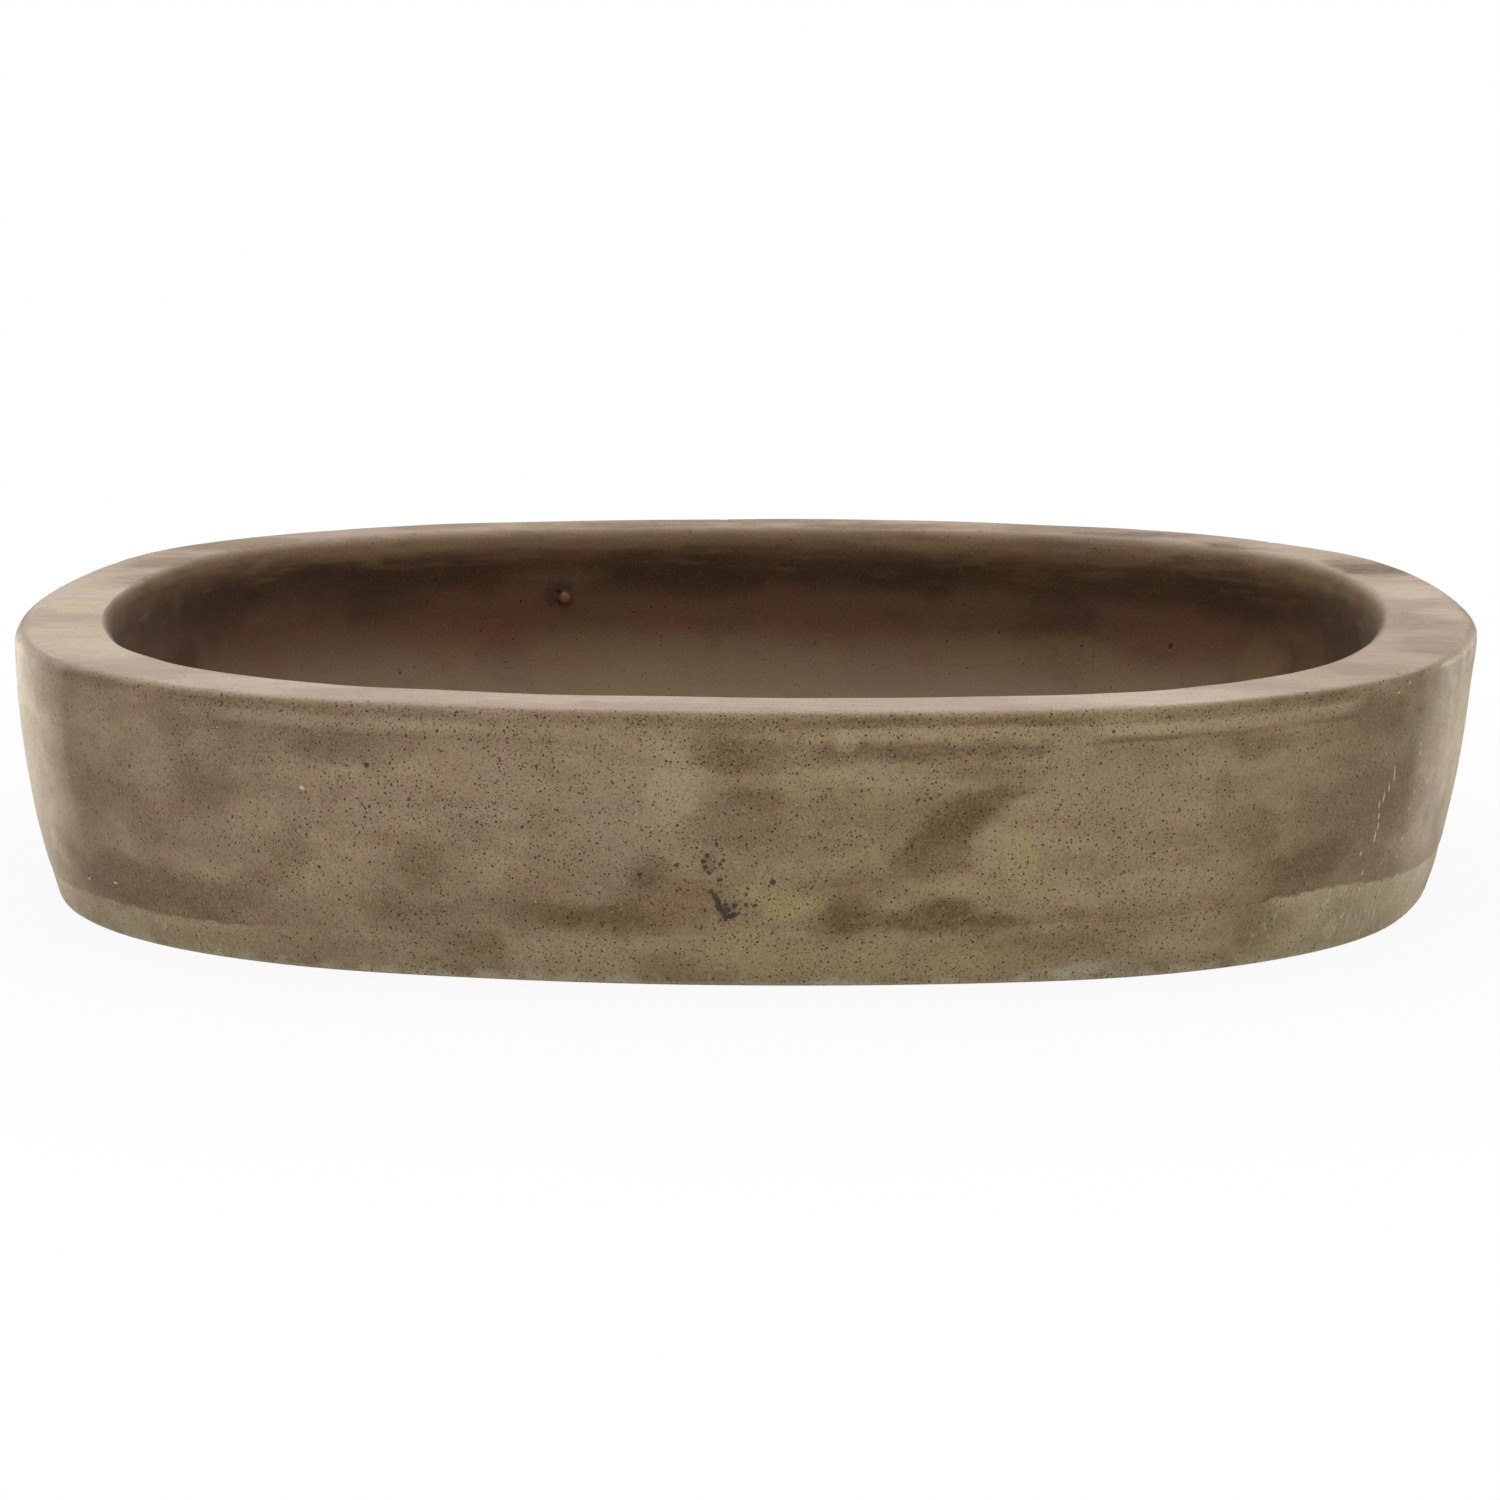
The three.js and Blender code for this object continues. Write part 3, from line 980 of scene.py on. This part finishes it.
def lay_stains_and_painted_light(tree, colour, place):
    """Lays the patches held on the points over a colour, damp first, with ragged and mottled edges.
    Among them are painted shade on the inner lip and painted light on the wall's limbs.
    """
    for layer, start in (("damp", (4, 1, 6)), ("bloom", (1, 6, 3))):
        ragged = sway(place, 0.90, 0.014, start, (1.8, 1.8, 1), 4, 0.50)
        far = painted(tree, layer + "_far")["Fac"] + ragged
        paint = painted(tree, layer + "_tone")
        mottle = clouds(place, 0.0045, start, detail=3).ramp(0.36, 0.62, 0.86, 1.06)
        mask = far.ramp(1.50, 0.40) * paint["Alpha"] * mottle
        colour = blend(mask, colour, paint["Color"])
    return colour


# ---- The concrete material ----


# Clouds of the outer wall: size, where the noise starts, least and most noise, strength, tone.
WALL_CLOUDS = [
    (0.050, (3, 1, 2), 0.50, 0.62, 0.45, DAMP_BROWN),
    (0.034, (7, 5, 1), 0.51, 0.63, 0.45, PALE_OLIVE),
    (0.036, (2, 8, 5), 0.56, 0.67, 0.35, RUST_BROWN),
    (0.026, (5, 3, 9), 0.53, 0.63, 0.50, GREEN_GREY),
    (0.022, (9, 4, 3), 0.54, 0.64, 0.38, DAMP_MAUVE),
    (0.011, (1, 9, 9), 0.54, 0.66, 0.26, DAMP_OLIVE),
]


def wall_base(place, parts):
    """Mauve grey to the left and olive to the right on the photographed side, mixed elsewhere."""
    front = parts["Y"].ramp(-0.10, -0.22)
    wide = clouds(place, 0.15, detail=2).ramp(0.42, 0.58)
    mix = blend(front, wide, parts["X"].ramp(-0.10, 0.04))
    colour = blend(mix, MAUVE_GREY, OLIVE_GREY)
    calm = 1 - 0.35 * front
    level = clouds(place, 0.011, (2, 4, 8), (5, 5, 1), 5)
    colour = blend(level.ramp(0.50, 0.66, 0, 0.24), colour, DAMP_BROWN)
    colour = blend(level.ramp(0.50, 0.36, 0, 0.30), colour, PALE_OLIVE)
    for size, start, low, high, strength, cloud_tone in WALL_CLOUDS:
        cloud = clouds(place, size, start, (1.6, 1.6, 1), 5).ramp(low, high, 0, strength)
        colour = blend(cloud * calm, colour, cloud_tone)
    return colour


def rim_base(place):
    wide = clouds(place, 0.06, (1, 2, 3), (1.5, 1, 1), 4)
    return blend(wide.ramp(0.38, 0.60), RIM_ROSE, RIM_SAND)


# Each pair of tones is mixed by clouds. The low pair starts at the floor; the others begin at one
# height and are full at the next: half way up, in the dark band, and just under the lip. The wall
# is darkest in the band and lighter towards the floor, partly its own tone and partly painted
# shade cast by the rim.
CAVITY_LOW_TONES = (tone(136, 112, 92), tone(137, 115, 88))
CAVITY_LEVELS = [
    (0.046, 0.068, tone(127, 96, 76), tone(121, 94, 71)),
    # The dark band: partly painted shade under the rim.
    (0.074, 0.087, tone(92, 66, 46), tone(94, 69, 46)),
    (0.091, 0.103, tone(127, 99, 74), tone(121, 97, 68)),
]


def cavity_base(place, parts):
    wide = clouds(place, 0.06, (5, 2, 8), (2, 2, 1), 5).ramp(0.40, 0.60)
    height = parts["Z"] + sway(place, 0.006, 0.04, (6, 1, 2), (3, 3, 1), 4)
    colour = blend(wide, *CAVITY_LOW_TONES)
    for low, high, *tones in CAVITY_LEVELS:
        colour = blend(height.ramp(low, high), colour, blend(wide, *tones))
    floor = parts["Z"].ramp(0.052, 0.036)
    calm = 1 - 0.70 * floor
    patch = clouds(place, 0.026, (2, 9, 4), (2, 2, 1), 5).ramp(0.50, 0.66, 0, 0.32)
    colour = blend(patch * calm, colour, CAVITY_DARK)
    rust = clouds(place, 0.022, (8, 3, 1), (1.8, 1.8, 1), 5).ramp(0.50, 0.66, 0, 0.40)
    colour = blend(rust * calm, colour, CAVITY_RUST)

    # The floor: wide soft clouds, silt left in rings by standing water, and damp round the drain.
    cloud = clouds(place, 0.085, (4, 4, 1), (1, 1, 1), 6).ramp(0.40, 0.62, 0, 0.50)
    colour = blend(cloud * floor, colour, CAVITY_PALE)
    from_middle = place.vector("MULTIPLY", (1, 1, 0)).length()
    out = from_middle + sway(place, 0.045, 0.10, (2, 6, 1), detail=5)
    rings = (out * 190.0).math("SINE").ramp(0.0, 1.0, 0, 0.12)
    broken = clouds(place, 0.022, (6, 3, 1), detail=5).ramp(0.44, 0.62)
    colour = blend(rings * broken * floor * out.ramp(0.05, 0.12), colour, CAVITY_DARK)
    return blend(out.ramp(0.085, 0.015, 0, 0.50) * floor, colour, CAVITY_DARK)


def wall_lines(tree, band, colour, place, height, wall):
    """The level lines of the outer wall: wiped streaks, a painted shadow under the outer lip, the
    mould line and the paler base edge.
    """
    line = height + sway(place, 0.002, 0.03, (1, 7, 3))
    along = clouds(place, 0.024, (6, 6, 2), (3, 3, 1), 5)

    # Streaks just under the rim, where the form was wiped, and a painted shadow under the outer lip.
    wiped = painted(tree, "wiped_share")["Fac"] * wall * along.ramp(0.36, 0.54, 0.35, 1.0)
    edge = painted(tree, "under_lip_shadow_share")["Fac"] * wall * along.ramp(0.38, 0.60, 0.35, 1.0)
    for share, low, high, soft, strip_tone in (
        (wiped, 0.0985, 0.1022, 0.0009, PALE_OLIVE),
        (wiped * 0.75, 0.0952, 0.0972, 0.0009, DAMP_BROWN),
        # A painted shadow just under the outer lip.
        (edge * 0.85, 0.1032, 0.1068, 0.0011, DAMP_BROWN),
    ):
        strip = use(tree, band, Height=line, Low=low, High=high, Soft=soft)
        colour = blend(strip * share, colour, strip_tone)

    # The mould line: damp above it and pale below it, with a crumbled edge.
    over = painted(tree, "over_mould_line")["Fac"]
    over = over + sway(place, 0.0025, 0.007, (2, 5, 8), detail=4)
    shows = painted(tree, "mould_share")["Fac"] * wall
    under = over.ramp(0.0008, -0.0008) * shows
    colour = blend(under * along.ramp(0.34, 0.60, 0.50, 0.90), colour, PALE_OLIVE)
    damp = over.ramp(-0.0006, 0.0006) * over.ramp(0.013, 0.001) * shows
    colour = blend(damp * along.ramp(0.60, 0.40, 0.25, 0.65), colour, DAMP_BROWN)

    # White scuffs and cream under the mould line, where the form was prised off.
    cream = clouds(place, 0.018, (4, 7, 7), (2, 2, 1), 4).ramp(0.40, 0.60, 0.10, 0.60)
    colour = blend(under * cream, colour, CREAM)
    scuff = clouds(place, 0.0022, (7, 7, 4), (1, 1, 3), 4).ramp(0.54, 0.64)
    scuffed = clouds(place, 0.014, (3, 5, 6)).ramp(0.44, 0.58, 0, 0.85)
    colour = blend(scuff * scuffed * under, colour, LIME_BLOOM)

    # Paler along the base edge: powdery patches, and a strip in the lowest two millimetres.
    powder = clouds(place, 0.009, (9, 2, 4), detail=4).ramp(0.44, 0.60, 0, 0.60)
    colour = blend(height.ramp(0.0060, 0.0010) * powder * wall, colour, LIME_BLOOM)
    return blend(height.ramp(0.0022, 0.0008, 0, 0.45) * wall, colour, LIME_BLOOM)


def rim_streaks(colour, place, rim):
    """Trowel streaks: long ones in patches and fine ones everywhere."""
    patch = clouds(place, 0.030, (3, 8, 2), (2, 1, 1), 4).ramp(0.40, 0.62, 0.25, 1.0)
    streak = clouds(place, 0.0030, stretch=(9, 1, 1), detail=5, roughness=0.65)
    colour = blend(streak.ramp(0.48, 0.70, 0, 0.16) * rim * patch, colour, RIM_STAIN_AND_SHADE)
    colour = blend(streak.ramp(0.50, 0.30, 0, 0.24) * rim * patch, colour, RIM_PALE)
    hair = clouds(place, 0.0011, (5, 5, 1), (12, 1, 1), 3)
    return blend(hair.ramp(0.50, 0.68, 0, 0.28) * rim, colour, RIM_STAIN_AND_SHADE)


def cavity_streaks(colour, place, height, cavity):
    """Level streaks high on the cavity's wall, where soil and water have stood."""
    streak = clouds(place, 0.0045, (3, 3, 7), (7, 7, 1), 4)
    high = height.ramp(0.080, 0.098) * cavity
    colour = blend(streak.ramp(0.50, 0.66, 0, 0.34) * high, colour, CAVITY_OLIVE)
    return blend(streak.ramp(0.48, 0.32, 0, 0.30) * high, colour, CAVITY_DARK)


def small_marks():
    """Scratches, spots and scuffs: their centres, reaches, strengths and tones."""
    marks = []
    white = [(*row, SCRATCH_STRENGTH, LIME_BLOOM) for row in SCRATCHES]
    for bearing, height, wide, high, strength, mark_tone in white + WALL_SPOTS:
        height, wide, high = metres(height, wide, high)
        marks.append((wall_place(bearing, height), (wide, wide, high), strength, mark_tone))
    for bearing, *sizes in RIM_SCUFFS:
        inset, length, width = metres(*sizes)
        reach = (length, width, 0.01)
        marks.append((rim_place(bearing, inset), reach, RIM_SCUFF_STRENGTH, LIME_BLOOM))
    bearing, *sizes = CAVITY_NUB
    height, radius, _ = metres(*sizes)
    halo = cavity_place(bearing + 0.6, height + 0.002)
    marks.append((halo, (0.0065, 0.0065, 0.0055), 0.60, CAVITY_DARK))
    nub_reach = (radius * 0.8, radius * 2, radius * 0.8)
    marks.append((cavity_place(bearing, height), nub_reach, 0.80, NUB_OCHRE))
    return marks


def lay_marks(tree, colour, place):
    mark = mark_group()
    loose = wandering(place, 0.0007, 0.003)
    ragged = sway(place, 0.7, 0.003, (4, 1, 6))
    for centre, reach, strength, mark_tone in small_marks():
        colour = use(
            tree, mark, Colour=colour, Place=loose, Ragged=ragged, Centre=centre, Reach=reach,
            Strength=strength, Tone=mark_tone,
        )
    return colour


def pinhole_share(tree, band, place, parts, wall):
    """How many pinholes there are: crowded in the middle of the sides and in a row under the rim."""
    crowd = clouds(place, 0.030, (4, 4, 9), detail=3).ramp(0.36, 0.64, 0.12, 0.60)
    middle = parts["X"].ramp(-0.24, -0.12) * parts["X"].ramp(0.26, 0.15)
    row = use(tree, band, Height=parts["Z"], Low=0.1020, High=0.1065, Soft=0.0010)
    return (crowd + middle * 0.30 + row * 0.45) * (wall * 0.92 + 0.08)


# The concrete's finish, where it is the same all over.
FINISH = {
    "IOR": 1.45, "Specular IOR Level": 0.35, "Sheen Weight": 0.12, "Sheen Roughness": 0.24,
    "Sheen Tint": (1.0, 0.94, 0.84, 1.0),
}


def cast_concrete():
    """The whole bowl's finish: three zones of colour, with grain, air holes and sand over them."""
    material = bpy.data.materials.new("cast_concrete")
    material.use_nodes = True
    tree = material.node_tree
    shader = tree.nodes["Principled BSDF"].inputs
    specks, band = specks_group(), band_group()
    place = put(tree, "TexCoord")["Object"]
    parts = put(tree, "SeparateXYZ", {0: place})
    rim, cavity, hole = (
        painted(tree, name + "_share")["Fac"] for name in ("rim", "cavity", "hole")
    )
    wall = 1 - rim - cavity

    colour = blend(rim, wall_base(place, parts), rim_base(place))
    colour = blend(cavity, colour, cavity_base(place, parts))
    colour = lay_stains_and_painted_light(tree, colour, place)
    colour = wall_lines(tree, band, colour, place, parts["Z"], wall)
    colour = rim_streaks(colour, place, rim)
    colour = cavity_streaks(colour, place, parts["Z"], cavity)
    colour = lay_marks(tree, colour, place)

    sandy = 1 - 0.60 * cavity
    grain = clouds(place, 0.0010, detail=3, roughness=0.75)
    colour = blend(grain.ramp(0.49, 0.68, 0, 0.36) * sandy, colour, GRAIN_DARK)
    colour = blend(grain.ramp(0.51, 0.32, 0, 0.26) * sandy, colour, GRAIN_PALE)

    # Pinholes of three sizes, then sand: where each starts, its share, spacing, radius, strength,
    # tone and height. Sizes and heights are in metres. The pinholes' dark tones are partly their own
    # colour and partly painted shade in the pits.
    torn = wandering(place, 0.00040, 0.0009)
    many = pinhole_share(tree, band, place, parts, wall)
    relief_height = grain * 0.00014
    for start, share, spacing, radius, strength, speck_tone, lift in (
        ((2, 3, 5), many, 0.00095, 0.00029, 0.70, PIN_BROWN, -0.00010),
        ((0, 0, 0), many, 0.0016, 0.00044, 0.85, HOLE_BROWN, -0.00025),
        ((7, 1, 3), many * 0.40, 0.0050, 0.00068, 0.75, HOLE_BROWN, -0.00035),
        ((5, 1, 2), wall * 0.13, 0.0030, 0.00042, 0.65, SAND, 0.00006),
    ):
        speck_place = torn.vector("ADD", start)
        spot = use(tree, specks, Place=speck_place, Spacing=spacing, Radius=radius, Share=share)
        colour = blend(spot * strength, colour, speck_tone)
        relief_height = relief_height + spot * lift
    # Grey blotches round the cut holes and dark inside them: partly painted shade of the hollows.
    hole_blotch_and_shade = (hole + sway(place, 0.75, 0.0016, (6, 2, 7), detail=3)).ramp(0.30, 0.62, 0, 0.85)
    feed(tree, shader["Base Color"], blend(hole_blotch_and_shade, colour, CLUMP_GREY))

    trowel = clouds(place, 0.0030, stretch=(9, 1, 1), detail=4) * rim * 0.00007
    bump = {"Height": relief_height + trowel, "Distance": 1.0, "Strength": 1.0}
    feed(tree, shader["Normal"], put(tree, "Bump", bump)["Normal"])
    worn = clouds(place, 0.03, (8, 1, 1), detail=3).ramp(0.3, 0.7, 0.64, 0.74)
    feed(tree, shader["Roughness"], worn + cavity * 0.15 + rim * 0.15)
    for name, value in FINISH.items():
        shader[name].default_value = value
    return material


# ---- Stage, lights and camera ----

STUDIO_FLOOR_HALF = 30.0
SHADOW_REACH = 0.75
WHITE = (1.0, 1.0, 1.0, 1.0)
PAPER = (0.88, 0.88, 0.88, 1.0)


def put_in_scene(name, data):
    thing = bpy.data.objects.new(name, data)
    bpy.context.scene.collection.objects.link(thing)
    return thing


def studio_floor():
    """White paper under the bowl. The camera sees it as white, with the bowl's soft shadow."""
    side = STUDIO_FLOOR_HALF
    mesh = bpy.data.meshes.new("studio_floor")
    corners = [(-side, -side, 0), (side, -side, 0), (side, side, 0), (-side, side, 0)]
    mesh.from_pydata(corners, [], [(0, 1, 2, 3)])
    floor = put_in_scene("studio_floor", mesh)
    material = bpy.data.materials.new("white_paper")
    tree = empty_tree(material)
    away = put(tree, "TexCoord")["Object"].length()
    paper = put(tree, "BsdfDiffuse", {"Color": PAPER})[0]
    white = put(tree, "Emission", {"Color": WHITE, "Strength": 1.0})[0]
    path = put(tree, "LightPath")
    seen = path["Is Camera Ray"] * away.ramp(0.30, SHADOW_REACH, 0.93, 1.0)
    share = seen.math("MAXIMUM", path["Is Glossy Ray"])
    surface = put(tree, "MixShader", {0: share, 1: paper, 2: white})[0]
    put(tree, "OutputMaterial", {"Surface": surface})
    mesh.materials.append(material)


def studio_world():
    """White behind the bowl, as a lit backdrop is, and darker where the camera stands."""
    world = bpy.data.worlds.new("studio")
    bpy.context.scene.world = world
    tree = empty_tree(world)
    way = put(tree, "SeparateXYZ", {0: put(tree, "TexCoord")["Generated"]})["Y"]
    level = way.ramp(-0.3, 0.5, 0.24, 0.32) + way.ramp(0.62, 0.88, 0, 0.45)
    light = put(tree, "Background", {"Color": WHITE, "Strength": level})[0]
    white = put(tree, "Background", {"Color": WHITE, "Strength": 1.0})[0]
    seen = put(tree, "LightPath")["Is Camera Ray"]
    mixed = put(tree, "MixShader", {0: seen, 1: light, 2: white})[0]
    put(tree, "OutputWorld", {"Surface": mixed})


def soft_box(name, place, target, wide, high, power, spread=math.pi, tint=WHITE[:3]):
    lamp = bpy.data.lights.new(name, "AREA")
    lamp.spread = spread
    lamp.color = tint
    lamp.shape = "RECTANGLE"
    lamp.size = wide
    lamp.size_y = high
    lamp.energy = power
    holder = put_in_scene(name, lamp)
    holder.location = place
    aim = Vector(target) - Vector(place)
    holder.rotation_euler = aim.to_track_quat("-Z", "Y").to_euler()
    holder.visible_camera = False


BEAM_SPREAD = math.radians(5)
BEAM_TINT = (1.0, 0.92, 0.80)


def studio_lamps():
    """Soft light from above and low in front, and two narrow beams that graze the bowl's left and
    right limbs from behind and miss its back."""
    soft_box("overhead_soft_box", (0, 0.35, 2.2), (0, 0, 0), 2.4, 2.4, 33)
    soft_box("low_front_soft_box", (0, -1.9, 0.085), (0, 0, 0.06), 3.0, 0.13, 7.5)
    for name, place, target, power in (
        ("left_edge_beam", (-1.49, 1.81, 0.052), (-0.374, -0.071, 0.052), 0.073),
        ("right_edge_beam", (1.234, 1.989, 0.052), (0.379, -0.051, 0.052), 0.060),
    ):
        soft_box(name, place, target, 0.10, 0.09, power, BEAM_SPREAD, BEAM_TINT)


# Where the camera stands, from the middle of the bowl: found from the photograph's perspective.
CAMERA_AWAY = 2.9507
CAMERA_ASIDE = 0.0018
CAMERA_ABOVE_RIM = 0.3967
CAMERA_ORBIT = math.radians(3.005)
CAMERA_PITCH = math.radians(8.834)
CAMERA_ROLL = math.radians(0.244)
LENS_MM = 169.45
SENSOR_MM = 36.0


def photograph_camera():
    data = bpy.data.cameras.new("photograph_camera")
    data.lens = LENS_MM
    data.sensor_width = SENSOR_MM
    camera = put_in_scene("photograph_camera", data)
    orbit = Matrix.Rotation(CAMERA_ORBIT, 4, "Z")
    stand = Matrix.Translation((CAMERA_ASIDE, -CAMERA_AWAY, HEIGHT + CAMERA_ABOVE_RIM))
    look = Matrix.Rotation(QUARTER_TURN - CAMERA_PITCH, 4, "X")
    look = look @ Matrix.Rotation(CAMERA_ROLL, 4, "Z")
    camera.matrix_world = orbit @ stand @ look
    bpy.context.scene.camera = camera


photograph_camera()
bpy.context.scene.view_settings.view_transform = "Standard"
studio_floor()
studio_world()
studio_lamps()

bowl = put_in_scene("bowl", bowl_mesh())
bowl.data.materials.append(cast_concrete())
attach(bowl, "root")
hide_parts("bowl_casting")
